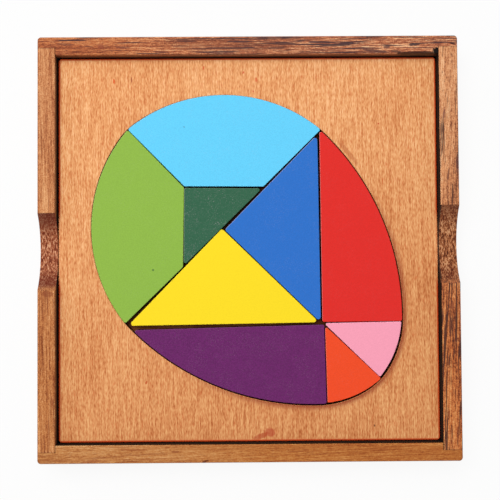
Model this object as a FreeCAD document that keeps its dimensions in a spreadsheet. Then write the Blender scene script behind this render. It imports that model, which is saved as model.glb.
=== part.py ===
import FreeCAD, Part
import math
import os

import Sketcher

# Egg tangram in a walled wooden box, in millimetres.
# The origin is at the middle of the underside, +X to the right, +Y to the back wall, +Z up.
#
# The puzzle is an egg cut into nine pieces. Its middle is the middle of the round end's width,
# and the pointed end lies towards the right front corner of the box. The cuts run square to
# the walls or at 45 degrees to them, so their places follow from one layout radius.

SIZES = [
    # The egg's layout radius, and the radius of each rim arc as a share of it
    ("egg_radius", 51.0),
    ("round_end_ratio", 1.11),
    ("flank_ratio", 1.865),
    ("tip_ratio", 0.716),
    # Room between the egg and its recess, as extra layout radius
    ("recess_room", 0.25),
    # The board that holds the egg: what is left of it beyond the recess on each side
    ("margin_left", 12.0),
    ("margin_right", 13.2),
    ("margin_front", 13.0),
    ("margin_back", 13.85),
    ("board_thickness", 6.0),
    ("board_corner_radius", 1.2),
    ("board_edge_round", 0.4),
    ("recess_corner_radius", 25.0),
    ("recess_edge_round", 0.25),
    ("backing_thickness", 3.0),
    # Room between the board and each wall
    ("gap_left", 0.4),
    ("gap_right", 0.15),
    ("gap_front", 0.15),
    ("gap_back", 0.25),
    # The nine painted pieces
    ("piece_thickness", 6.8),
    ("piece_edge_round", 0.25),
    # The walls of the box
    ("wall_height", 20.0),
    ("wall_left_thickness", 6.5),
    ("wall_right_thickness", 7.1),
    ("wall_front_thickness", 6.8),
    ("wall_back_thickness", 6.7),
    ("rabbet_lip", 4.0),
    ("box_corner_radius", 1.3),
    ("wall_edge_round", 0.5),
    # The floor panel and the groove that it sits in
    ("floor_rise", 2.5),
    ("floor_thickness", 3.0),
    ("groove_depth", 2.4),
    ("groove_room", 0.2),
    # The finger notches in the left and right walls, and how far back of the middle they are
    ("notch_depth", 7.0),
    ("notch_left_width", 28.5),
    ("notch_left_shift", -0.9),
    ("notch_right_width", 29.0),
    ("notch_right_shift", 1.0),
]

# How each piece lies in the recess: what sawing and sanding took off its sides, how round its
# corners are, how far it has slid to the right and to the back, and how far it has turned, in
# degrees. Inner is how far its side on the inner square missed its line, outwards.
PIECE_FITS = [
    ("light_blue", {"trim": 0.15, "inner": -0.4, "corner": 0.8,
                    "slide": 0.2, "push": 0.3, "turn": -0.5}),
    ("light_green", {"trim": 0.11, "inner": -0.29, "corner": 0.8,
                     "slide": -0.15, "push": -0.15, "turn": -0.95}),
    ("dark_green", {"trim": 0.25, "inner": 0.0, "corner": 0.7,
                    "slide": -0.1, "push": -0.26, "turn": -0.67}),
    ("yellow", {"trim": 0.27, "corner": 0.85, "slide": -0.68, "push": -0.25, "turn": 0.68}),
    ("blue", {"trim": 0.4, "corner": 0.95, "slide": -0.29, "push": -1.13, "turn": 0.58}),
    ("red", {"trim": 0.15, "corner": 0.7, "slide": -0.22, "push": 0.15, "turn": 0.4}),
    ("pink", {"trim": 0.3, "corner": 0.55, "slide": -0.6, "push": -0.05, "turn": 0.85}),
    ("orange", {"trim": 0.4, "corner": 0.55, "slide": -0.1, "push": -0.65, "turn": 1.35}),
    ("purple", {"trim": 0.35, "corner": 0.7, "slide": 0.45, "push": -0.79, "turn": 1.25}),
]

doc = FreeCAD.newDocument("egg_tangram")
sheet = doc.addObject("Spreadsheet::Sheet", "sizes")


def fill_sheet():
    """Write each driving size beside its name."""
    cells = list(SIZES)
    for piece, fit in PIECE_FITS:
        cells += [(f"{piece}_{word}", number) for word, number in fit.items()]
    for row, (name, number) in enumerate(cells, start=1):
        sheet.set(f"A{row}", name)
        sheet.set(f"B{row}", str(number))
        sheet.setAlias(f"B{row}", name)
    doc.recompute()


def value(expression):
    """Give the number that an expression of the sheet's names stands for."""
    number = sheet.evalExpression(expression)
    return float(getattr(number, "Value", number))


def point(place):
    """Give the sketch point of a pair of expressions."""
    return FreeCAD.Vector(value(place[0]), value(place[1]), 0)


# Sketches

def new_body(name):
    body = doc.addObject("PartDesign::Body", name)
    body.Label = name
    return body


def new_sketch(body, name, plane_role):
    """Start a sketch on one of the body's own origin planes."""
    plane = [item for item in body.Origin.OriginFeatures if item.Role == plane_role][0]
    sketch = body.newObject("Sketcher::SketchObject", f"{body.Name}_{name}")
    sketch.AttachmentSupport = [(plane, "")]
    sketch.MapMode = "FlatFace"
    return sketch


def bind(sketch, constraint, expression):
    """Add a constraint with a size, and tie the size to the sheet."""
    index = sketch.addConstraint(constraint)
    sketch.setExpression(f"Constraints[{index}]", expression)


def pin_point(sketch, edge, end, place):
    """Hold one end of an edge at a place measured from the sketch's origin."""
    for kind, axis, expression in (("DistanceX", -2, place[0]), ("DistanceY", -1, place[1])):
        number = value(expression)
        if number == 0:
            sketch.addConstraint(Sketcher.Constraint("PointOnObject", edge, end, axis))
        elif number > 0:
            size = Sketcher.Constraint(kind, -1, 1, edge, end, number)
            bind(sketch, size, expression)
        else:
            size = Sketcher.Constraint(kind, edge, end, -1, 1, -number)
            bind(sketch, size, f"-({expression})")


def close_loop(sketch, edges):
    """Join each edge's end to the start of the next."""
    for edge, following in zip(edges, edges[1:] + edges[:1]):
        sketch.addConstraint(Sketcher.Constraint("Coincident", edge, 2, following, 1))


def draw_polygon(sketch, places):
    """Draw a closed outline of straight edges through places given as expressions."""
    corners = [point(place) for place in places]
    edges = []
    for start, end in zip(corners, corners[1:] + corners[:1]):
        edges.append(sketch.addGeometry(Part.LineSegment(start, end), False))
    close_loop(sketch, edges)
    for edge, place in zip(edges, places):
        pin_point(sketch, edge, 1, place)


def rectangle(x_low, y_low, x_high, y_high):
    """Give the corners of a rectangle, anticlockwise."""
    return [(x_low, y_low), (x_high, y_low), (x_high, y_high), (x_low, y_high)]


def add_arc(sketch, centre, radius, start, end):
    """Draw an arc, anticlockwise from one point to another."""
    angles = [math.atan2(spot.y - centre.y, spot.x - centre.x) for spot in (start, end)]
    if angles[1] < angles[0]:
        angles[1] += 2 * math.pi
    circle = Part.Circle(centre, FreeCAD.Vector(0, 0, 1), radius)
    return sketch.addGeometry(Part.ArcOfCircle(circle, angles[0], angles[1]), False)


# Solid features

def add_pad(body, sketch, length, symmetric=False):
    """Extrude a sketch, from its plane or to both sides of it."""
    pad = body.newObject("PartDesign::Pad", f"{body.Name}_pad")
    pad.Profile = sketch
    pad.SideType = "Symmetric" if symmetric else "One side"
    pad.setExpression("Length", length)
    doc.recompute()
    return pad


def add_pocket(body, sketch):
    """Cut a sketch through the whole solid, and make sure that it took something away."""
    before = body.Shape.Volume
    pocket = body.newObject("PartDesign::Pocket", f"{sketch.Name}_cut")
    pocket.Profile = sketch
    pocket.SideType = "Symmetric"
    pocket.Type = "ThroughAll"
    doc.recompute()
    if body.Shape.Volume >= before:
        raise RuntimeError(f"{pocket.Name} cuts nothing")
    return pocket


def add_fillet(body, name, radius, wanted):
    """Round the edges of the solid that the test picks out."""
    base = body.Tip
    picked = [f"Edge{number}" for number, edge in enumerate(base.Shape.Edges, start=1)
              if wanted(edge)]
    fillet = body.newObject("PartDesign::Fillet", f"{body.Name}_{name}")
    fillet.Base = (base, picked)
    fillet.setExpression("Radius", radius)
    doc.recompute()
    return fillet


def near(first, second):
    return abs(first - second) < 1e-5


def is_upright(edge):
    """Tell whether an edge runs straight up."""
    box = edge.BoundBox
    return box.XLength < 1e-5 and box.YLength < 1e-5


def lies_at(edge, height):
    """Tell whether a whole edge lies at one height."""
    box = edge.BoundBox
    return near(box.ZMin, height) and near(box.ZMax, height)


# The egg's layout

def egg_corners(radius):
    """Name the corners of the egg and of its cuts, laid out on a radius about its middle."""
    half = f"({radius} / sqrt(2))"
    inner = f"((sqrt(2) - 1) * {half})"
    reach = f"(2 * {radius} - {half})"
    tip = f"({half} + (sqrt(2) - 1) * {radius})"
    return {
        "middle": ("0", "0"),
        "left_front": (f"-{half}", f"-{half}"),
        "right_back": (half, half),
        "right_front": (half, f"-{half}"),
        "left_back": (f"-{half}", half),
        "inner_back": (inner, inner),
        "inner_front": (f"-{inner}", f"-{inner}"),
        "inner_corner": (f"-{inner}", inner),
        "flank_right": (reach, f"-{half}"),
        "flank_front": (half, f"-{reach}"),
        "tip": (tip, f"-{tip}"),
    }


def rim_arcs(radius):
    """Give the centre and the radius of each arc of the egg's rim, as expressions.

    Each arc passes through two of the egg's corners. The arcs of the front half mirror
    those of the back half about the egg's long axis.
    """
    half = f"({radius} / sqrt(2))"
    end_radius = f"(sizes.round_end_ratio * {radius})"
    end_offset = f"({half} - sqrt({end_radius}^2 - {half}^2))"
    flank_radius = f"(sizes.flank_ratio * {radius})"
    run = f"({radius} - {half})"
    half_chord = f"sqrt({run}^2 + {half}^2)"
    set_back = f"(sqrt({flank_radius}^2 - {half_chord}^2) / {half_chord})"
    flank_far = f"({radius} - {half} * {set_back})"
    flank_near = f"({run} * {set_back})"
    tip_radius = f"(sizes.tip_ratio * {radius})"
    tip_run = f"((2 - sqrt(2)) * {radius})"
    tip_offset = f"({tip_run} * cos(22.5 deg) - sqrt({tip_radius}^2 - ({tip_run} * sin(22.5 deg))^2))"
    tip_far = f"({half} + {tip_offset} * cos(22.5 deg))"
    tip_near = f"({half} + {tip_offset} * sin(22.5 deg))"
    return {
        "round_back": (("0", end_offset), end_radius),
        "round_left": ((f"-{end_offset}", "0"), end_radius),
        "flank_back": ((flank_far, f"-{flank_near}"), flank_radius),
        "flank_front": ((flank_near, f"-{flank_far}"), flank_radius),
        "tip_back": ((tip_far, f"-{tip_near}"), tip_radius),
        "tip_front": ((tip_near, f"-{tip_far}"), tip_radius),
    }


def egg_reach(radius):
    """Give how far the egg reaches from its middle: past its round end and its pointed end.

    Both reaches are the same along X and along Y, because the egg lies at 45 degrees.
    """
    half = f"({radius} / sqrt(2))"
    end_radius = f"(sizes.round_end_ratio * {radius})"
    round_reach = f"({half} - sqrt({end_radius}^2 - {half}^2) + {end_radius})"
    pointed_reach = f"(2 * {radius} - {half})"
    return round_reach, pointed_reach


def draw_rim(sketch, radius):
    """Draw the whole egg as six arcs through its corners."""
    corners = egg_corners(radius)
    arcs = rim_arcs(radius)
    order = ["right_back", "left_back", "left_front", "flank_front", "tip", "flank_right"]
    names = ["round_back", "round_left", "flank_front", "tip_front", "tip_back", "flank_back"]
    edges = []
    for name, first, second in zip(names, order, order[1:] + order[:1]):
        centre, size = arcs[name]
        edges.append(add_arc(sketch, point(centre), value(size),
                             point(corners[first]), point(corners[second])))
    close_loop(sketch, edges)
    for name, edge, first in zip(names, edges, order):
        pin_point(sketch, edge, 1, corners[first])
        size = arcs[name][1]
        bind(sketch, Sketcher.Constraint("Radius", edge, value(size)), size)


# The nine pieces, anticlockwise: where each side starts, and what it is. A straight side has
# its direction in degrees and its distance from the egg's middle before the piece is trimmed,
# as a share of half the egg's square: 0 on a diagonal, 1 on the square, inner on the small
# square. Trimming moves it away from the middle (out) or towards it (in).

PIECE_SIDES = {
    "light_blue": [("right_back", "arc", "round_back"), ("left_back", -45, "diagonal", "out"),
                   ("inner_corner", 0, "inner", "out"), ("inner_back", 45, "diagonal", "out")],
    "light_green": [("left_back", "arc", "round_left"), ("left_front", 45, "diagonal", "out"),
                    ("inner_front", 90, "inner", "out"), ("inner_corner", 135, "diagonal", "out")],
    "dark_green": [("inner_corner", -90, "inner", "in"), ("inner_front", 45, "diagonal", "out"),
                   ("inner_back", 180, "inner", "in")],
    "yellow": [("left_front", 0, "square", "in"), ("right_front", 135, "diagonal", "out"),
               ("middle", -135, "diagonal", "out")],
    "blue": [("middle", -45, "diagonal", "out"), ("right_front", 90, "square", "in"),
             ("right_back", -135, "diagonal", "out")],
    "red": [("right_front", 0, "square", "in"), ("flank_right", "arc", "flank_back"),
            ("right_back", -90, "square", "out")],
    "pink": [("right_front", -45, "diagonal", "out"), ("tip", "arc", "tip_back"),
             ("flank_right", 180, "square", "out")],
    "orange": [("right_front", -90, "square", "out"), ("flank_front", "arc", "tip_front"),
               ("tip", 135, "diagonal", "out")],
    "purple": [("left_front", "arc", "flank_front"), ("flank_front", 90, "square", "in"),
               ("right_front", 180, "square", "out")],
}

# How much of a piece the first draft of its outline is drawn in by, so that each straight
# side starts on its own side of the egg's middle.
DRAFT_SHRINK = 0.08


def cut_distance(piece, line, way):
    """Give a straight side's distance from the egg's middle."""
    half = "(sizes.egg_radius / sqrt(2))"
    inner = f"(sqrt(2) - 1) * {half} + sizes.{piece}_inner"
    distance = {"diagonal": "0", "square": half, "inner": inner}[line]
    sign = "+" if way == "out" else "-"
    return f"{distance} {sign} sizes.{piece}_trim"


def hold_direction(sketch, edge, degrees):
    """Keep a straight side level, upright or at its slant."""
    if degrees % 180 == 0:
        sketch.addConstraint(Sketcher.Constraint("Horizontal", edge))
    elif degrees % 90 == 0:
        sketch.addConstraint(Sketcher.Constraint("Vertical", edge))
    else:
        sketch.addConstraint(Sketcher.Constraint("Angle", edge, math.radians(degrees)))


def draw_piece(sketch, piece):
    """Draw one piece of the cut egg, with its sides trimmed."""
    corners = egg_corners("sizes.egg_radius")
    arcs = rim_arcs("sizes.egg_radius")
    trim = f"sizes.{piece}_trim"
    sides = PIECE_SIDES[piece]
    spots = [point(corners[side[0]]) for side in sides]
    middle = sum(spots, FreeCAD.Vector()) * (1 / len(spots))
    spots = [spot + (middle - spot) * DRAFT_SHRINK for spot in spots]
    edges = []
    for side, start, end in zip(sides, spots, spots[1:] + spots[:1]):
        if side[1] == "arc":
            centre, size = arcs[side[2]]
            edges.append(add_arc(sketch, point(centre), value(size), start, end))
        else:
            edges.append(sketch.addGeometry(Part.LineSegment(start, end), False))
    close_loop(sketch, edges)
    for side, edge in zip(sides, edges):
        if side[1] == "arc":
            centre, size = arcs[side[2]]
            size = f"{size} - {trim}"
            pin_point(sketch, edge, 3, centre)
            bind(sketch, Sketcher.Constraint("Radius", edge, value(size)), size)
        else:
            distance = cut_distance(piece, side[2], side[3])
            hold_direction(sketch, edge, side[1])
            bind(sketch, Sketcher.Constraint("Distance", -1, 1, edge, value(distance)), distance)


# Places in the box, as expressions

RECESS_RADIUS = "(sizes.egg_radius + sizes.recess_room)"
ROUND_REACH, POINTED_REACH = egg_reach(RECESS_RADIUS)
BOARD_LEFT = f"({ROUND_REACH} + sizes.margin_left)"
BOARD_RIGHT = f"({POINTED_REACH} + sizes.margin_right)"
BOARD_FRONT = f"({POINTED_REACH} + sizes.margin_front)"
BOARD_BACK = f"({ROUND_REACH} + sizes.margin_back)"
OPENING_WIDTH = f"(sizes.gap_left + {BOARD_LEFT} + {BOARD_RIGHT} + sizes.gap_right)"
OPENING_DEPTH = f"(sizes.gap_front + {BOARD_FRONT} + {BOARD_BACK} + sizes.gap_back)"
OPENING_X = "((sizes.wall_left_thickness - sizes.wall_right_thickness) / 2)"
OPENING_Y = "((sizes.wall_front_thickness - sizes.wall_back_thickness) / 2)"
BOX_WIDTH = f"({OPENING_WIDTH} + sizes.wall_left_thickness + sizes.wall_right_thickness)"
BOX_DEPTH = f"({OPENING_DEPTH} + sizes.wall_front_thickness + sizes.wall_back_thickness)"
EGG_X = f"({OPENING_X} - {OPENING_WIDTH} / 2 + sizes.gap_left + {BOARD_LEFT})"
EGG_Y = f"({OPENING_Y} - {OPENING_DEPTH} / 2 + sizes.gap_front + {BOARD_FRONT})"
FLOOR_TOP = "(sizes.floor_rise + sizes.floor_thickness)"
BACKING_TOP = f"({FLOOR_TOP} + sizes.backing_thickness)"


def place(body, x, y, z, turn="0"):
    """Put a body at its place, turned about the upright axis."""
    spot = FreeCAD.Vector(value(x), value(y), value(z))
    upright = FreeCAD.Vector(0, 0, 1)
    body.Placement = FreeCAD.Placement(spot, FreeCAD.Rotation(upright, value(turn)))
    body.setExpression("Placement.Base.x", x)
    body.setExpression("Placement.Base.y", y)
    body.setExpression("Placement.Base.z", z)
    if turn != "0":
        body.setExpression("Placement.Rotation.Angle", f"{turn} * 1 deg")
    doc.recompute()


# Sub-parts

def make_piece(piece):
    """One painted piece: its trimmed outline, with soft corners and edges."""
    body = new_body(f"piece_{piece}")
    sketch = new_sketch(body, "outline", "XY_Plane")
    draw_piece(sketch, piece)
    add_pad(body, sketch, "sizes.piece_thickness")
    add_fillet(body, "corners", f"sizes.{piece}_corner", is_upright)
    thickness = value("sizes.piece_thickness")
    add_fillet(body, "edges", "sizes.piece_edge_round",
               lambda edge: lies_at(edge, 0) or lies_at(edge, thickness))
    x = f"{EGG_X} + sizes.{piece}_slide"
    y = f"{EGG_Y} + sizes.{piece}_push"
    place(body, x, y, BACKING_TOP, f"sizes.{piece}_turn")
    return body


def draw_board(sketch):
    draw_polygon(sketch, rectangle(f"-{BOARD_LEFT}", f"-{BOARD_FRONT}", BOARD_RIGHT, BOARD_BACK))


def is_outline_edge(edge):
    """Tell whether an edge lies on the board's outer faces."""
    box = edge.BoundBox
    at_side = near(box.XMin, value(f"-{BOARD_LEFT}")) or near(box.XMax, value(BOARD_RIGHT))
    at_end = near(box.YMin, value(f"-{BOARD_FRONT}")) or near(box.YMax, value(BOARD_BACK))
    return at_side or at_end


def make_tray_board():
    """The loose board with its egg-shaped opening, edges eased on top."""
    body = new_body("tray_board")
    outline = new_sketch(body, "outline", "XY_Plane")
    draw_board(outline)
    add_pad(body, outline, "sizes.board_thickness")
    recess = new_sketch(body, "recess", "XY_Plane")
    draw_rim(recess, RECESS_RADIUS)
    add_pocket(body, recess)
    add_fillet(body, "recess_corners", "sizes.recess_corner_radius",
               lambda edge: is_upright(edge) and not is_outline_edge(edge))
    add_fillet(body, "corners", "sizes.board_corner_radius",
               lambda edge: is_upright(edge) and is_outline_edge(edge))
    top = value("sizes.board_thickness")
    add_fillet(body, "recess_rim", "sizes.recess_edge_round",
               lambda edge: lies_at(edge, top) and not is_outline_edge(edge))
    add_fillet(body, "rim", "sizes.board_edge_round",
               lambda edge: lies_at(edge, top) and is_outline_edge(edge))
    place(body, EGG_X, EGG_Y, BACKING_TOP)
    return body


def make_tray_backing():
    """The thin dark sheet glued under the board, the floor of the recess."""
    body = new_body("tray_backing")
    outline = new_sketch(body, "outline", "XY_Plane")
    draw_board(outline)
    add_pad(body, outline, "sizes.backing_thickness")
    add_fillet(body, "corners", "sizes.board_corner_radius", is_upright)
    place(body, EGG_X, EGG_Y, FLOOR_TOP)
    return body


def make_floor_panel():
    """The bottom sheet, held all round in the walls' grooves."""
    body = new_body("floor_panel")
    outline = new_sketch(body, "outline", "XY_Plane")
    half_width = f"({OPENING_WIDTH} / 2 + sizes.groove_depth - sizes.groove_room)"
    half_depth = f"({OPENING_DEPTH} / 2 + sizes.groove_depth - sizes.groove_room)"
    draw_polygon(outline, rectangle(f"-{half_width}", f"-{half_depth}", half_width, half_depth))
    add_pad(body, outline, "sizes.floor_thickness")
    place(body, OPENING_X, OPENING_Y, "sizes.floor_rise")
    return body


def new_wall(name, length, thickness):
    """Start a wall: a grooved board that runs along X, with its inner face at Y = 0."""
    body = new_body(name)
    section = new_sketch(body, "section", "YZ_Plane")
    draw_polygon(section, [
        ("0", "0"),
        (thickness, "0"),
        (thickness, "sizes.wall_height"),
        ("0", "sizes.wall_height"),
        ("0", FLOOR_TOP),
        ("sizes.groove_depth", FLOOR_TOP),
        ("sizes.groove_depth", "sizes.floor_rise"),
        ("0", "sizes.floor_rise"),
    ])
    add_pad(body, section, length, symmetric=True)
    return body


def cut_rabbet(body, name, thickness, inner_end, outer_end):
    """Cut away the inner part of a wall's end, where the next wall's end goes."""
    depth = f"({thickness} - sizes.rabbet_lip)"
    sketch = new_sketch(body, name, "XY_Plane")
    low, high = sorted((inner_end, outer_end), key=value)
    draw_polygon(sketch, rectangle(low, f"-{depth}", high, depth))
    add_pocket(body, sketch)


def round_wall(body, length, thickness, ends_show):
    """Ease the edges of a wall that stay bare in the finished box."""
    top = value("sizes.wall_height")
    outer = value(thickness)
    end = value(f"{length} / 2")

    def at_end(edge):
        return near(abs(edge.CenterOfMass.x), end)

    if ends_show:
        add_fillet(body, "corners", "sizes.box_corner_radius",
                   lambda edge: is_upright(edge) and at_end(edge)
                   and near(edge.CenterOfMass.y, outer))

    def is_bare(edge):
        box = edge.BoundBox
        level = lies_at(edge, top) or lies_at(edge, 0)
        outside = near(box.YMin, outer) and near(box.YMax, outer)
        inside = near(box.YMin, 0) and near(box.YMax, 0) and lies_at(edge, top)
        outline = ends_show and (at_end(edge) or not (near(box.XLength, 0) or near(box.YLength, 0)))
        return (level and (outside or outline)) or inside

    add_fillet(body, "edges", "sizes.wall_edge_round", is_bare)


def make_long_wall(name, thickness, minus_side, plus_side, y, turn):
    """The front or back wall: full width, with a rabbet at each end for the side walls."""
    body = new_wall(name, BOX_WIDTH, thickness)
    end = f"({BOX_WIDTH} / 2)"
    past_end = f"({BOX_WIDTH} / 2 + sizes.rabbet_lip)"
    cut_rabbet(body, "rabbet_minus", thickness, f"-({end} - {minus_side})", f"-{past_end}")
    cut_rabbet(body, "rabbet_plus", thickness, f"({end} - {plus_side})", past_end)
    round_wall(body, BOX_WIDTH, thickness, ends_show=True)
    place(body, "0", y, "0", turn)
    return body


def cut_notch(body, width, shift):
    """Scoop a finger notch, one arc in outline, out of the top edge of a wall."""
    sketch = new_sketch(body, "notch", "XZ_Plane")
    depth = "sizes.notch_depth"
    radius = f"((({width}) / 2)^2 + {depth}^2) / (2 * {depth})"
    centre = (shift, f"sizes.wall_height - {depth} + {radius}")
    left = (f"{shift} - {width} / 2", "sizes.wall_height")
    right = (f"{shift} + {width} / 2", "sizes.wall_height")
    arc = add_arc(sketch, point(centre), value(radius), point(left), point(right))
    lid = sketch.addGeometry(Part.LineSegment(point(right), point(left)), False)
    close_loop(sketch, [arc, lid])
    pin_point(sketch, arc, 1, left)
    pin_point(sketch, arc, 2, right)
    bind(sketch, Sketcher.Constraint("Radius", arc, value(radius)), radius)
    add_pocket(body, sketch)


def make_side_wall(name, thickness, notch_width, notch_shift, x, turn):
    """The left or right wall: its ends sit in the rabbets, and it has a finger notch."""
    length = f"({BOX_DEPTH} - 2 * sizes.rabbet_lip)"
    body = new_wall(name, length, thickness)
    cut_notch(body, notch_width, notch_shift)
    round_wall(body, length, thickness, ends_show=False)
    place(body, x, "0", "0", turn)
    return body


def make_walls():
    left, right = "sizes.wall_left_thickness", "sizes.wall_right_thickness"
    front, back = "sizes.wall_front_thickness", "sizes.wall_back_thickness"
    half_width, half_depth = f"{OPENING_WIDTH} / 2", f"{OPENING_DEPTH} / 2"
    return [
        make_long_wall("wall_back", back, left, right, f"{OPENING_Y} + {half_depth}", "0"),
        make_long_wall("wall_front", front, right, left, f"{OPENING_Y} - {half_depth}", "180"),
        make_side_wall("wall_left", left, "sizes.notch_left_width", "sizes.notch_left_shift",
                       f"{OPENING_X} - {half_width}", "90"),
        make_side_wall("wall_right", right, "sizes.notch_right_width",
                       "-sizes.notch_right_shift", f"{OPENING_X} + {half_width}", "-90"),
    ]


def check(parts):
    """Stop if any object failed, or a sub-part isn't one sound solid."""
    for item in doc.Objects:
        if "Invalid" in item.State or "Error" in item.State:
            raise RuntimeError(f"{item.Name} failed: {item.State}")
    for part in parts:
        shape = part.Shape
        if shape.isNull() or not shape.isValid() or len(shape.Solids) != 1:
            raise RuntimeError(f"{part.Label} isn't one valid solid")


def main():
    fill_sheet()
    parts = make_walls()
    parts.append(make_floor_panel())
    parts.append(make_tray_backing())
    parts.append(make_tray_board())
    for piece, _ in PIECE_FITS:
        parts.append(make_piece(piece))
    doc.recompute()
    check(parts)
    os.makedirs("parts", exist_ok=True)
    for part in parts:
        part.Shape.exportStep(f"parts/{part.Label}.step")
        box = part.Shape.BoundBox
        print(part.Label, "x", round(box.XMin, 2), round(box.XMax, 2),
              "y", round(box.YMin, 2), round(box.YMax, 2),
              "z", round(box.ZMin, 2), round(box.ZMax, 2))


main()
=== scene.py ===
import math

import bpy
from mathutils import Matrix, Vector


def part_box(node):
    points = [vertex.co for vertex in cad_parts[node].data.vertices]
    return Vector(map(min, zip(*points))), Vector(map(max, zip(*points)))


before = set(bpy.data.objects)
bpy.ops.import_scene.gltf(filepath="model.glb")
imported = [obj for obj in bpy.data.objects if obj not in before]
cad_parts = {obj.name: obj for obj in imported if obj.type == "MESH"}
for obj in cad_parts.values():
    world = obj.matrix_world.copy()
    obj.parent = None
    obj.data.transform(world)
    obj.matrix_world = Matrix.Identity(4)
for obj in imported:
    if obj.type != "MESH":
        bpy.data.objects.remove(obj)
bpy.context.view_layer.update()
scene = bpy.context.scene

MM = 0.001

# The camera that was fitted to the photograph's edges: its place in metres and its turn in
# radians, with the focal length in pixels of the image
IMAGE_SIDE = 500
FOCAL_PIXELS = 1100
CAMERA_PLACE = (-0.003112, -0.015802, 0.422473)
CAMERA_TURN = (0.037356, -0.008355, -0.006717)

# The walls' top, a height between the floor panel's groove and the finger notches, and how far
# the side walls' ends stay inside the corners
WALL_TOP = 20.0 * MM
BELOW_NOTCHES = 10.0 * MM
RABBET_LIP = 4.0 * MM

# The dark colours that recur: sides burnt by cutting, which also serve as painted shade in gaps,
# in a notch and on the sheet under the pieces; painted shade on the walls' inner faces; and glue
# lines
SCORCH_AND_SHADE = (30, 16, 12)
INNER_FACE_SHADE = (9, 5, 4)
GLUE_LINE = (64, 34, 24)
GLUE_SHARE = 0.7

# Marks reach this far up and down from their level, in millimetres
MARK_HEIGHT = 8
WALL_MARK_LEVEL = 20
BOARD_MARK_LEVEL = 14
PIECE_MARK_LEVEL = 15.3


def linear(colour):
    """Turn a colour as a display shows it, 0 to 255, into the renderer's linear one."""
    parts = [part / 255 for part in colour]
    return tuple(p / 12.92 if p <= 0.04045 else ((p + 0.055) / 1.055) ** 2.4 for p in parts) + (1,)


def grain(axis, lengthwise, across):
    """Give a pattern's grain size in millimetres, long along one axis and narrow across it."""
    return [lengthwise if name == axis else across for name in "XYZ"]


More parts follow.
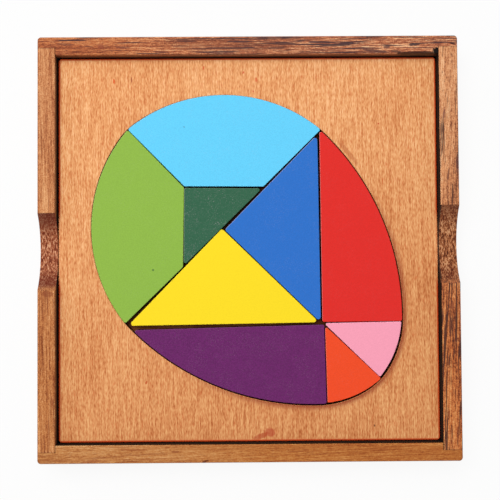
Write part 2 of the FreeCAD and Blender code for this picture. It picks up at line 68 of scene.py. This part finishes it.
class Material:
    """A material whose nodes make its pattern from the place on the object."""

    def __init__(self, name):
        self.data = bpy.data.materials.new(name)
        self.data.use_nodes = True
        self.tree = self.data.node_tree
        self.shader = self.tree.nodes["Principled BSDF"]
        self.place = self.node("ShaderNodeTexCoord").outputs["Object"]
        self.facing = self.node("ShaderNodeNewGeometry").outputs["Normal"]

    # Nodes, each given as its output

    def node(self, kind, settings=None, inputs=None):
        """Add a node with its settings and inputs."""
        made = self.tree.nodes.new(kind)
        for name, setting in (settings or {}).items():
            setattr(made, name, setting)
        for name, source in (inputs or {}).items():
            self.feed(made.inputs[name], source)
        return made

    def feed(self, socket, source):
        """Link an input to an output, or set it to a number or a colour."""
        if isinstance(source, bpy.types.NodeSocket):
            self.tree.links.new(source, socket)
        else:
            socket.default_value = source

    def math(self, operation, first, second=0.0):
        """Work on one or two numbers."""
        inputs = {0: first, 1: second}
        return self.node("ShaderNodeMath", {"operation": operation}, inputs).outputs["Value"]

    def vector(self, operation, first, second, output="Vector"):
        """Work on two vectors. The answer is a vector, or a number with the output Value."""
        inputs = {0: first, 1: second}
        return self.node("ShaderNodeVectorMath", {"operation": operation}, inputs).outputs[output]

    def axis(self, source, name):
        """Take one coordinate out of a vector."""
        return self.node("ShaderNodeSeparateXYZ", None, {"Vector": source}).outputs[name]

    def step(self, source, low, high):
        """Rise smoothly from 0 to 1 as the source goes from low to high."""
        inputs = {"Value": source, "From Min": low, "From Max": high}
        settings = {"interpolation_type": "SMOOTHSTEP"}
        return self.node("ShaderNodeMapRange", settings, inputs).outputs["Result"]

    def between(self, source, low, high):
        """Scale a source that goes from 0 to 1 so that it goes from low to high."""
        inputs = {"Value": source, "To Min": low, "To Max": high}
        return self.node("ShaderNodeMapRange", None, inputs).outputs["Result"]

    def blend(self, factor, first, second):
        """Lay a second colour over the first. Colours are outputs or display colours."""
        mix = self.node("ShaderNodeMix", {"data_type": "RGBA"})
        sockets = {socket.identifier: socket for socket in (*mix.inputs, *mix.outputs)}
        self.feed(sockets["Factor_Float"], factor)
        for name, colour in (("A_Color", first), ("B_Color", second)):
            self.feed(sockets[name], linear(colour) if isinstance(colour, tuple) else colour)
        return sockets["Result_Color"]

    def palette(self, source, colours):
        """Read a colour off an even row of display colours."""
        ramp = self.node("ShaderNodeValToRGB", None, {"Fac": source})
        elements = ramp.color_ramp.elements
        while len(elements) < len(colours):
            elements.new(0.5)
        for number, (element, colour) in enumerate(zip(elements, colours)):
            element.position = number / (len(colours) - 1)
            element.color = linear(colour)
        return ramp.outputs["Color"]

    # Patterns, each a number from 0 to 1

    def frame_at(self, middle, size, lean=0.0):
        """Measure places from a middle, in units of a size, both in millimetres.

        The lean turns the measure about Z, in radians.
        """
        inputs = {
            "Vector": self.place,
            "Location": [length * MM for length in middle],
            "Rotation": (0, 0, lean),
            "Scale": [length * MM for length in size],
        }
        return self.node("ShaderNodeMapping", {"vector_type": "TEXTURE"}, inputs).outputs["Vector"]

    def noise(self, size, seed, detail=3.0, lean=0.0):
        """Give a noise whose grains have this size in millimetres. The seed shifts it."""
        inputs = {
            "Vector": self.frame_at((seed * 97, seed * 61, seed * 43), size, lean),
            "Scale": 1.0,
            "Detail": detail,
            "Roughness": 0.6,
        }
        return self.node("ShaderNodeTexNoise", None, inputs).outputs["Fac"]

    def total(self, *parts):
        """Add up (weight, number) pairs."""
        result = self.math("MULTIPLY", parts[0][1], parts[0][0])
        for weight, number in parts[1:]:
            result = self.math("ADD", result, self.math("MULTIPLY", number, weight))
        return result

    def spot(self, middle, size, lean=0.0, ragged=0.5):
        """Give a ragged spot: 1 inside it and 0 outside."""
        distance = self.vector("LENGTH", self.frame_at(middle, size, lean), (0, 0, 0), "Value")
        rough = self.noise((0.9, 0.9, 0.9), middle[0], 4.0)
        return self.step(self.total((1.0, distance), (ragged * 2, rough)), 0.8 + ragged, 0.5 + ragged)

    def inside_by(self, low, high):
        """Give how far a place lies inside a box's four sides, in metres."""
        from_low = self.vector("SUBTRACT", self.place, low)
        from_high = self.vector("SUBTRACT", high, self.place)
        nearer = self.vector("MINIMUM", from_low, from_high)
        return self.math("MINIMUM", self.axis(nearer, "X"), self.axis(nearer, "Y"))

    def edges(self, reach):
        """Give 1 at the outer edges, falling to 0 at a reach in metres from them."""
        settings = {"inside": True, "only_local": True, "samples": 8}
        inputs = {"Distance": reach}
        light = self.node("ShaderNodeAmbientOcclusion", settings, inputs).outputs["AO"]
        return self.step(light, 0.95, 0.6)

    def along(self, source, direction):
        """Measure a vector along a direction."""
        return self.vector("DOT_PRODUCT", source, direction, "Value")

    def faces(self, direction, low, high):
        """Give 1 where the surface faces a direction: its share along it rises from low to high."""
        return self.step(self.along(self.facing, direction), low, high)

    def upright(self):
        """Give 1 on the upright faces, and 0 on level ones and on rounded edges' tops."""
        level = self.math("ABSOLUTE", self.along(self.facing, (0, 0, 1)))
        return self.step(level, 0.3, 0.1)

    def finish(self, colour, roughness, height, depth):
        """Feed the shader with a colour, a roughness and a relief of a depth in millimetres."""
        self.feed(self.shader.inputs["Base Color"], colour)
        self.feed(self.shader.inputs["Roughness"], roughness)
        inputs = {"Height": height, "Distance": depth * MM, "Strength": 1.0}
        bump = self.node("ShaderNodeBump", None, inputs).outputs["Normal"]
        self.feed(self.shader.inputs["Normal"], bump)
        return self


def give(node, material):
    """Put a material on a CAD node."""
    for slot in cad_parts[node].material_slots:
        slot.material = material.data


def add_marks(material, colour, marks, level):
    """Lay small ragged stains over a colour, and some patches of painted shade.

    A mark: its place and half sizes in millimetres, its lean in degrees, its colour, and its
    share over what is under it.
    """
    for x, y, length, width, lean, stain, share in marks:
        half_size = (length, width, MARK_HEIGHT)
        spot = material.spot((x, y, level), half_size, math.radians(lean))
        colour = material.blend(material.math("MULTIPLY", spot, share), colour, stain)
    return colour


# The walls: stained solid wood, each with its own grain, and painted shade on their inner faces.
# axis and inward: the way the wall runs, and the way its inner face looks
# lean: how far the grain is off the axis, in radians
# tones and end_tones: the wood from its darkest to its lightest, at the two ends of the zone
# dark, dark_share and dark_from: the dark streaks' colour and strength, and how high the noise
#     has to be where one begins
# zone: an axis, and the places on it in millimetres between which the wood goes from tones to
#     end_tones
# inner_shade: the painted shade on the inner face: how dark it is at its top, the height in
#     millimetres below which it is all dark, and how steep its rounded edge is where the dark begins
# marks: single streaks and knots, and painted shade in the back wall's right corner, as add_marks
#     takes them

WALLS = {
    "wall_back": {
        "axis": "X", "inward": (0, -1, 0), "seed": 1, "lean": 0.0,
        "tones": [(102, 49, 32), (153, 80, 49), (179, 100, 59), (200, 123, 75), (222, 152, 101)],
        "end_tones": [(82, 43, 36), (144, 80, 56), (182, 106, 71), (212, 141, 98), (246, 192, 146)],
        "dark": (54, 42, 50), "dark_share": 0.9, "dark_from": 0.73, "zone": ("X", -60, 0),
        "inner_shade": (0.0, 14.0, 0.6),
        "marks": [
            (-6.0, 74.6, 40.0, 3.2, -1, (112, 60, 42), 0.35),
            # Painted shade in the back right corner: a dark band along the inner edge and a dark
            # patch in the corner
            (63.0, 71.6, 12.0, 1.1, 1, (50, 25, 19), 0.9),
            (70.0, 72.3, 2.6, 2.0, 0, (20, 12, 10), 1.0),
            (46.8, 72.5, 7.5, 0.8, -5, (74, 48, 50), 0.8),
            (61.3, 74.8, 3.4, 0.8, 2, (58, 46, 50), 0.9),
            (54.8, 72.2, 3.1, 0.6, -5, (64, 40, 38), 0.8),
            (51.5, 73.9, 2.1, 0.6, 1, (78, 54, 56), 0.8),
            (75.8, 75.0, 1.9, 0.45, -14, (54, 34, 34), 0.9),
            (24.2, 75.9, 2.8, 0.5, 3, (84, 62, 64), 0.8),
            (0.7, 74.0, 2.9, 0.4, -3, (74, 48, 52), 0.8),
            (-3.9, 76.1, 5.5, 0.5, -2, (70, 48, 54), 0.8),
            (-31.9, 72.4, 4.8, 0.5, -3, (104, 58, 48), 0.8),
            (-46.3, 74.2, 4.3, 0.6, -3, (112, 62, 52), 0.7),
            (-54.3, 74.6, 1.8, 1.5, 36, (142, 70, 50), 0.6),
        ],
    },
    "wall_front": {
        "axis": "X", "inward": (0, 1, 0), "seed": 2, "lean": 0.04,
        "tones": [(146, 72, 26), (169, 94, 42), (179, 105, 48), (188, 118, 57), (204, 138, 76)],
        "end_tones": [(146, 80, 42), (184, 116, 62), (194, 130, 74), (202, 142, 86), (216, 162, 108)],
        "dark": (140, 70, 34), "dark_share": 0.5, "dark_from": 0.78, "zone": ("X", 20, -60),
        "inner_shade": (1.0, 19.0, 0.5),
        "marks": [
            (-16.4, -77.6, 2.0, 0.6, 17, (110, 50, 24), 0.9),
            (-57.7, -77.3, 5.0, 0.7, 2, (152, 76, 40), 0.6),
            (-42.7, -73.2, 8.0, 0.6, -3, (158, 86, 42), 0.6),
            (-27.2, -74.0, 2.4, 0.5, 0, (146, 74, 36), 0.8),
            (74.7, -73.6, 2.2, 0.8, 28, (128, 62, 32), 0.7),
        ],
    },
    "wall_left": {
        "axis": "Y", "inward": (1, 0, 0), "seed": 3, "lean": 0.02,
        "tones": [(138, 74, 42), (178, 108, 66), (198, 129, 82), (212, 147, 98), (234, 176, 124)],
        "end_tones": [(126, 60, 28), (172, 100, 54), (190, 119, 66), (205, 138, 84), (226, 166, 112)],
        "dark": (128, 66, 40), "dark_share": 0.5, "dark_from": 0.77, "zone": ("Y", 60, -60),
        "inner_shade": (0.35, 16.0, 0.6),
        "marks": [
            (-72.0, -55.8, 3.0, 0.5, 92, (142, 66, 34), 0.7),
            (-73.8, -16.4, 3.4, 1.9, 0, (138, 68, 40), 0.6),
        ],
    },
    "wall_right": {
        "axis": "Y", "inward": (-1, 0, 0), "seed": 14, "lean": -0.05,
        "tones": [(124, 66, 42), (188, 121, 80), (210, 142, 95), (223, 159, 111), (240, 186, 140)],
        "end_tones": [(92, 42, 24), (170, 88, 46), (198, 114, 60), (214, 137, 78), (230, 164, 104)],
        "dark": (68, 38, 34), "dark_share": 0.9, "dark_from": 0.73, "zone": ("Y", 40, -40),
        "inner_shade": (1.0, 19.0, 0.5),
        "marks": [
            (73.5, -29.1, 5.4, 0.75, 88, (84, 44, 36), 0.8),
            (75.8, -69.1, 6.0, 0.4, 85, (104, 52, 34), 0.6),
            (72.9, -41.7, 3.7, 0.55, 84, (84, 42, 34), 0.8),
            (75.7, -33.5, 3.5, 0.45, 89, (92, 48, 38), 0.8),
            (74.3, -21.6, 2.4, 0.8, 94, (124, 58, 40), 0.7),
            (72.1, 48.8, 3.3, 0.6, 84, (130, 78, 64), 0.8),
            (73.4, 26.6, 3.3, 0.5, 82, (120, 74, 58), 0.8),
            (76.8, 31.0, 5.5, 0.5, 89, (88, 54, 52), 0.85),
        ],
    },
}

# The finger notches: their tones, how much darker their steep ends are, partly end grain and partly
# painted shade, and how dark the line of painted shade along the inner edge is

NOTCHES = {
    "wall_left": {
        "tones": [(106, 42, 20), (132, 62, 36), (158, 87, 54), (182, 110, 74), (216, 160, 122)],
        "end_grain_and_shade": 0.7, "edge_line_shade": 0.0,
    },
    "wall_right": {
        "tones": [(74, 30, 12), (124, 64, 33), (153, 89, 51), (177, 111, 69), (212, 156, 112)],
        "end_grain_and_shade": 0.35, "edge_line_shade": 0.9,
    },
}


def cut_notch_grain(material, colour, wall, inward, tones, end_grain_and_shade, edge_line_shade):
    """Stain a finger notch dark, speckled with end grain, darker at its steep ends, partly as painted
    shade.
    """
    speckles = material.noise((0.34, 1.3, 0.6), 8.1, 1.0)
    patches = material.noise((2.5, 4, 3), 8.2, 2.0)
    # The steep ends are darker: partly end grain, partly painted shade
    steep = material.math("ABSOLUTE", material.along(material.facing, (0, 1, 0)))
    ends = material.step(steep, 0.30, 0.62)
    mixed = material.total((0.65, speckles), (0.35, patches))
    rough = material.palette(material.step(mixed, 0.36, 0.64), tones)
    rough = material.blend(material.math("MULTIPLY", ends, end_grain_and_shade), rough, (106, 38, 18))
    # A dark line along the notch's inner edge: painted shade of the gap beside the board
    low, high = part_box(wall)
    inner_edge = high.x if inward[0] > 0 else low.x
    away = material.math("SUBTRACT", material.axis(material.place, "X"), inner_edge)
    line = material.step(material.math("ABSOLUTE", away), 0.9 * MM, 0.3 * MM)
    line = material.math("MULTIPLY", line, edge_line_shade)
    rough = material.blend(line, rough, SCORCH_AND_SHADE)
    height = material.axis(material.place, "Z")
    back_end = material.step(material.axis(material.place, "Y"), -5 * MM, 5 * MM)
    full_below = material.between(back_end, WALL_TOP - 2.5 * MM, WALL_TOP - 0.3 * MM)
    below_top = material.step(height, WALL_TOP - 0.1 * MM, full_below)
    above_groove = material.step(height, BELOW_NOTCHES, BELOW_NOTCHES + 1 * MM)
    sideways = material.math("ABSOLUTE", material.along(material.facing, (1, 0, 0)))
    notch = material.math("MULTIPLY", material.step(sideways, 0.9, 0.6), below_top)
    return material.blend(material.math("MULTIPLY", notch, above_groove), colour, rough)


def draw_joints(material, colour, wall, axis):
    """Draw the dark glue line where this wall ends against its neighbours."""
    low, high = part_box(wall)
    across = material.math("ABSOLUTE", material.axis(material.place, "Y"))
    if axis == "Y":
        line = material.step(across, high.y - 0.35 * MM, high.y)
        return material.blend(material.math("MULTIPLY", line, GLUE_SHARE), colour, GLUE_LINE)
    rabbet = max(high.y, -low.y) - RABBET_LIP
    for shoulder in (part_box("wall_left")[1].x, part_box("wall_right")[0].x):
        offset = material.math("SUBTRACT", material.axis(material.place, "X"), shoulder)
        line = material.step(material.math("ABSOLUTE", offset), 0.25 * MM, 0.05 * MM)
        line = material.math("MULTIPLY", line, material.step(across, rabbet + 0.1 * MM, rabbet))
        colour = material.blend(material.math("MULTIPLY", line, GLUE_SHARE), colour, GLUE_LINE)
    return colour


def stain_wall(
    name, axis, inward, seed, lean, tones, end_tones, dark, dark_share, dark_from, zone, inner_shade, marks
):
    """Make a wall's stained wood, with painted shade on its inner face. What the settings mean is
    said above WALLS.
    """
    material = Material(name)
    zone_axis, zone_start, zone_end = zone
    near_end = material.axis(material.place, zone_axis)
    zone_share = material.step(near_end, zone_start * MM, zone_end * MM)
    broad = material.noise(grain(axis, 50, 3.5), seed, 2.0, lean)
    streaks = material.noise(grain(axis, 14, 0.36), seed + 0.1, 2.0, lean)
    fibres = material.noise(grain(axis, 1.8, 0.3), seed + 0.2, 1.0)
    speckles = material.noise((0.4, 0.4, 0.4), seed + 0.6, 0.0)
    mixed = material.total((0.24, broad), (0.36, streaks), (0.25, fibres), (0.15, speckles))
    mixed = material.step(mixed, 0.36, 0.64)
    colour = material.palette(mixed, tones)
    colour = material.blend(zone_share, colour, material.palette(mixed, end_tones))
    lines = material.noise(grain(axis, 20, 0.6), seed + 0.3, 2.0, lean)
    where = material.noise(grain(axis, 40, 4), seed + 0.4, 1.0)
    lines = material.total((1.0, lines), (0.3, where), (0.04, zone_share))
    lines = material.step(lines, dark_from, dark_from + 0.05)
    colour = material.blend(material.math("MULTIPLY", lines, dark_share), colour, dark)
    pores = material.step(material.noise(grain(axis, 1.6, 0.3), seed + 0.5, 2.0), 0.60, 0.70)
    colour = material.blend(material.math("MULTIPLY", pores, 0.6), colour, dark)
    colour = draw_joints(material, colour, name, axis)
    colour = add_marks(material, colour, marks, WALL_MARK_LEVEL)
    if name in NOTCHES:
        colour = cut_notch_grain(material, colour, name, inward, **NOTCHES[name])
    # Painted shade on the inner face, darkest low down towards the board
    top_share, dark_below, edge = inner_shade
    height = material.axis(material.place, "Z")
    depth = material.step(height, WALL_TOP - 0.3 * MM, dark_below * MM)
    inner = material.faces(inward, edge, edge + 0.35)
    inner = material.math("MULTIPLY", inner, material.between(depth, top_share, 1.0))
    colour = material.blend(inner, colour, INNER_FACE_SHADE)
    relief = material.total((1.0, fibres), (-0.5, pores))
    roughness = material.math("MAXIMUM", material.between(streaks, 0.45, 0.7), inner)
    material.finish(colour, roughness, relief, 0.06)
    return material


for wall, look in WALLS.items():
    give(wall, stain_wall(wall, **look))


# The board: orange-tan plywood, scorched along its cut edges, with painted shade along its rim and
# around the pieces

BOARD_MARKS = [
    (7.3, -68.0, 2.9, 2.5, 0, (184, 74, 46), 0.7),
    (4.0, -69.3, 4.4, 1.5, 20, (180, 72, 40), 0.7),
    # Painted shadow of the red piece on the board beside its edge
    (37.3, 35.4, 9.0, 1.3, -51, (182, 96, 54), 0.5),
    (-38.2, -49.3, 0.5, 1.1, -17, (190, 76, 30), 0.9),
    (48.6, 46.3, 0.45, 0.45, 0, (190, 58, 38), 0.9),
    (46.0, -65.7, 0.35, 0.7, 0, (84, 44, 28), 0.9),
    (2.0, 58.7, 0.5, 0.45, 0, (212, 92, 66), 0.9),
    (-1.6, 65.8, 0.5, 0.8, -29, (214, 98, 62), 0.9),
    (3.1, 63.0, 0.5, 1.4, 0, (216, 100, 58), 0.9),
    (-16.5, 67.5, 0.4, 1.3, 0, (214, 94, 54), 0.9),
    (-49.9, 62.5, 0.5, 1.6, 0, (222, 96, 48), 0.9),
    (-43.4, 63.2, 0.4, 1.9, 0, (170, 86, 54), 0.9),
]


def cover_board():
    """Make the board's plywood: its grain and spots, its burnt rim and its cut sides, with painted
    shade along the rim, around the pieces and beside the red piece.
    """
    material = Material("board_plywood")
    broad = material.noise((14, 30, 14), 5, 2.0)
    streaks = material.noise((0.36, 9, 0.5), 5.1, 2.0)
    fibres = material.noise((0.30, 1.6, 0.5), 5.2, 1.0)
    # Darker towards the front: partly the plywood's own tone, partly painted shade where the light
    # falls off
    lower = material.step(material.along(material.place, (0.35, -0.94, 0)), -60 * MM, 60 * MM)
    mixed = material.step(material.total((0.12, broad), (0.44, streaks), (0.44, fibres)), 0.35, 0.64)
    upper_tones = [(200, 118, 66), (222, 147, 92), (232, 162, 105), (240, 174, 116), (252, 193, 140)]
    lower_tones = [(180, 98, 50), (206, 129, 76), (217, 144, 90), (225, 157, 100), (238, 177, 118)]
    colour = material.palette(mixed, upper_tones)
    colour = material.blend(lower, colour, material.palette(mixed, lower_tones))
    flecks = material.step(material.noise((0.36, 3.0, 0.7), 5.3, 1.0), 0.62, 0.70)
    colour = material.blend(material.math("MULTIPLY", flecks, 0.5), colour, (208, 100, 52))
    colour = add_marks(material, colour, BOARD_MARKS, BOARD_MARK_LEVEL)
    low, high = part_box("tray_board")
    inside = material.inside_by(low, high)
    # Along the outer rim the board is darker and redder: partly burnt by cutting, partly painted
    # shade from the walls, so weaker beside the notches where the walls are low
    wash = material.total((1.0, inside), (0.8 * MM, streaks))
    off_middle = material.math("ABSOLUTE", material.axis(material.place, "Y"))
    beside_notch = material.step(off_middle, 15 * MM, 10 * MM)
    rim = material.between(beside_notch, 1.0, 0.2)
    washed_and_shaded = material.math("MULTIPLY", material.step(wash, 1.6 * MM, 0.7 * MM), rim)
    colour = material.blend(material.math("MULTIPLY", washed_and_shaded, 0.8), colour, (214, 128, 80))
    burnt_and_shaded = material.math("MULTIPLY", material.step(inside, 0.8 * MM, 0.4 * MM), rim)
    colour = material.blend(burnt_and_shaded, colour, (188, 66, 24))
    # Painted shade on the board around the opening towards the right front, where the pieces stand
    # proud
    right_front = material.step(material.along(material.place, (0.7, -0.7, 0)), 5 * MM, 55 * MM)
    near_cut = material.edges(3.6 * MM)
    around_opening = material.step(inside, 6 * MM, 9 * MM)
    around_opening = material.math("MULTIPLY", around_opening, right_front)
    shade = material.math("MULTIPLY", material.math("MULTIPLY", near_cut, near_cut), around_opening)
    colour = material.blend(shade, colour, (164, 82, 50))
    # The cut sides are burnt dark low down and painted brown at the top, deeper towards the right
    # back: painted light and shade for the narrow gaps between the board and the pieces
    right_back = material.step(material.along(material.place, (0.8, 0.6, 0)), 20 * MM, 45 * MM)
    dark_from = material.between(right_back, 13.6 * MM, 10.5 * MM)
    dark_below = material.between(right_back, 12.6 * MM, 8.5 * MM)
    depth = material.step(material.axis(material.place, "Z"), dark_from, dark_below)
    cut_side = material.palette(depth, [(178, 104, 62), SCORCH_AND_SHADE])
    colour = material.blend(material.upright(), colour, cut_side)
    material.finish(colour, material.between(fibres, 0.5, 0.7), fibres, 0.05)
    return material


give("tray_board", cover_board())


# The plain plywood sheets underneath

def cover_sheet(name, axis, tones, seed, back_shade):
    """Make a plain sheet's wood. The last setting is how much darker it is painted towards the back,
    as painted shade under the pieces.
    """
    material = Material(name)
    broad = material.noise(grain(axis, 80, 10), seed, 3.0)
    fibres = material.noise(grain(axis, 14, 0.8), seed + 0.1, 4.0)
    mixed = material.total((0.5, broad), (0.5, fibres))
    colour = material.palette(material.step(mixed, 0.33, 0.67), tones)
    pores = material.step(material.noise(grain(axis, 3, 0.4), seed + 0.2, 2.0), 0.62, 0.74)
    colour = material.blend(material.math("MULTIPLY", pores, 0.4), colour, (120, 75, 45))
    # Painted shade: the sheet is darker from near the front towards the back, deep under the pieces
    back_shade_mask = material.step(material.axis(material.place, "Y"), -32 * MM, -18 * MM)
    colour = material.blend(material.math("MULTIPLY", back_shade_mask, back_shade), colour, SCORCH_AND_SHADE)
    material.finish(colour, material.between(fibres, 0.55, 0.75), fibres, 0.05)
    return material


DARK_SHEET = [(92, 44, 22), (120, 64, 32), (144, 86, 50)]
PALE_SHEET = [(176, 128, 84), (204, 160, 114), (224, 186, 142)]
give("tray_backing", cover_sheet("tray_backing", "X", DARK_SHEET, 6, back_shade=0.6))
give("floor_panel", cover_sheet("floor_panel", "Y", PALE_SHEET, 7, back_shade=0.0))


# The nine pieces: satin paint, cut through afterwards. Mottle is how much darker the paint is in
# patches, dust how much of its specks shows, and the last setting how far the edges facing the upper
# left are painted lighter, as a painted highlight.

PAINTS = {
    "light_blue": {"colour": (102, 211, 253), "mottle": 0.04, "dust": 0.1, "painted_highlight": 0.15},
    "light_green": {"colour": (145, 186, 72), "mottle": 0.04, "dust": 0.1, "painted_highlight": 0.1},
    "dark_green": {"colour": (52, 102, 75), "mottle": 0.06, "dust": 0.3, "painted_highlight": 0.3},
    "yellow": {"colour": (254, 223, 34), "mottle": 0.02, "dust": 0.0, "painted_highlight": 0.0},
    "blue": {"colour": (45, 114, 204), "mottle": 0.04, "dust": 0.1, "painted_highlight": 0.25},
    "red": {"colour": (228, 44, 38), "mottle": 0.04, "dust": 0.05, "painted_highlight": 0.3},
    "pink": {"colour": (253, 163, 186), "mottle": 0.03, "dust": 0.0, "painted_highlight": 0.2},
    "orange": {"colour": (246, 78, 36), "mottle": 0.04, "dust": 0.05, "painted_highlight": 0.25},
    "purple": {"colour": (113, 37, 107), "mottle": 0.16, "dust": 0.16, "painted_highlight": 0.15},
}
PAINT_MARKS = {
    "light_green": [(-35.5, -7.8, 0.6, 0.6, 0, (76, 112, 58), 0.8)],
    "light_blue": [(-23.8, 45.3, 0.6, 0.4, -20, (92, 158, 190), 0.8)],
}


def coat_piece(name, colour, mottle, dust, painted_highlight, seed):
    """Make a piece's paint: its dust, its marks, a painted highlight on its upper left edges, its
    scorched sides.
    """
    material = Material(f"paint_{name}")
    darker = tuple(part * (1 - mottle) for part in colour)
    patches = material.noise((0.4, 0.4, 0.4), seed, 2.0)
    result = material.blend(material.step(patches, 0.35, 0.65), darker, colour)
    specks = material.step(material.noise((0.28, 0.28, 0.28), seed + 0.1, 1.0), 0.60, 0.70)
    settled = material.step(material.noise((7, 7, 7), seed + 0.3, 1.0), 0.45, 0.6)
    specks = material.math("MULTIPLY", specks, material.between(settled, 0.4, 1.0))
    result = material.blend(material.math("MULTIPLY", specks, dust), result, (216, 196, 206))
    result = add_marks(material, result, PAINT_MARKS.get(name, []), PIECE_MARK_LEVEL)
    # Painted highlight on the rounded edges that face the upper left
    lit = material.math("MULTIPLY", material.faces((-0.61, 0.50, 0.62), 0.70, 0.95), painted_highlight)
    result = material.blend(lit, result, (250, 236, 230))
    result = material.blend(material.upright(), result, SCORCH_AND_SHADE)
    skin = material.noise((1.4, 1.4, 1.4), seed + 0.2, 4.0)
    material.finish(result, material.between(skin, 0.36, 0.54), skin, 0.02)
    return material


for number, (name, look) in enumerate(PAINTS.items()):
    give(f"piece_{name}", coat_piece(name, seed=10 + number, **look))


# The studio: the photograph's view from above, a white floor and soft light

def add_camera():
    """Look as the photograph's camera did."""
    data = bpy.data.cameras.new("camera")
    data.sensor_width = 36.0
    data.lens = FOCAL_PIXELS / IMAGE_SIDE * data.sensor_width
    camera = bpy.data.objects.new("camera", data)
    scene.collection.objects.link(camera)
    camera.location = CAMERA_PLACE
    camera.rotation_euler = CAMERA_TURN
    scene.camera = camera


def add_floor():
    """Lay a white floor that keeps the object's shadow."""
    reach = 3.0
    mesh = bpy.data.meshes.new("floor")
    corners = [(-reach, -reach, 0), (reach, -reach, 0), (reach, reach, 0), (-reach, reach, 0)]
    mesh.from_pydata(corners, [], [(0, 1, 2, 3)])
    floor = bpy.data.objects.new("floor", mesh)
    scene.collection.objects.link(floor)
    material = Material("floor")
    material.shader.inputs["Base Color"].default_value = linear((235, 235, 235))
    material.shader.inputs["Roughness"].default_value = 0.9
    seen = material.node("ShaderNodeLightPath").outputs["Is Camera Ray"]
    glow = material.node("ShaderNodeEmission", None, {"Color": (1, 1, 1, 1), "Strength": 1.0})
    mix = material.node("ShaderNodeMixShader", None, {"Fac": material.math("MULTIPLY", seen, 0.9)})
    material.feed(mix.inputs[1], material.shader.outputs["BSDF"])
    material.feed(mix.inputs[2], glow.outputs["Emission"])
    material.feed(material.tree.nodes["Material Output"].inputs["Surface"], mix.outputs["Shader"])
    mesh.materials.append(material.data)


def add_lamp(name, place, size, power, gloss):
    """Hang a square lamp that shines on the object's middle, with or without a reflection."""
    data = bpy.data.lights.new(name, "AREA")
    data.shape = "SQUARE"
    data.size = size
    data.energy = power
    lamp = bpy.data.objects.new(name, data)
    scene.collection.objects.link(lamp)
    lamp.location = place
    lamp.rotation_euler = (-Vector(place)).to_track_quat("-Z", "Y").to_euler()
    lamp.visible_glossy = gloss


def add_world(strength):
    """Light the scene evenly, and show white to the camera."""
    scene.world = bpy.data.worlds.new("world")
    scene.world.use_nodes = True
    nodes = scene.world.node_tree.nodes
    links = scene.world.node_tree.links
    light = nodes["Background"]
    light.inputs["Color"].default_value = (1, 1, 1, 1)
    light.inputs["Strength"].default_value = strength
    white = nodes.new("ShaderNodeBackground")
    white.inputs["Color"].default_value = (1, 1, 1, 1)
    white.inputs["Strength"].default_value = 1.0
    mix = nodes.new("ShaderNodeMixShader")
    links.new(nodes.new("ShaderNodeLightPath").outputs["Is Camera Ray"], mix.inputs["Fac"])
    links.new(light.outputs["Background"], mix.inputs[1])
    links.new(white.outputs["Background"], mix.inputs[2])
    links.new(mix.outputs["Shader"], nodes["World Output"].inputs["Surface"])


add_camera()
add_floor()
add_lamp("softbox", place=(-0.12, 0.16, 0.85), size=0.50, power=6.9, gloss=False)
add_lamp("rim", place=(-0.70, 0.60, 0.45), size=0.30, power=1.0, gloss=True)
add_world(strength=0.2)

scene.view_settings.view_transform = "Standard"
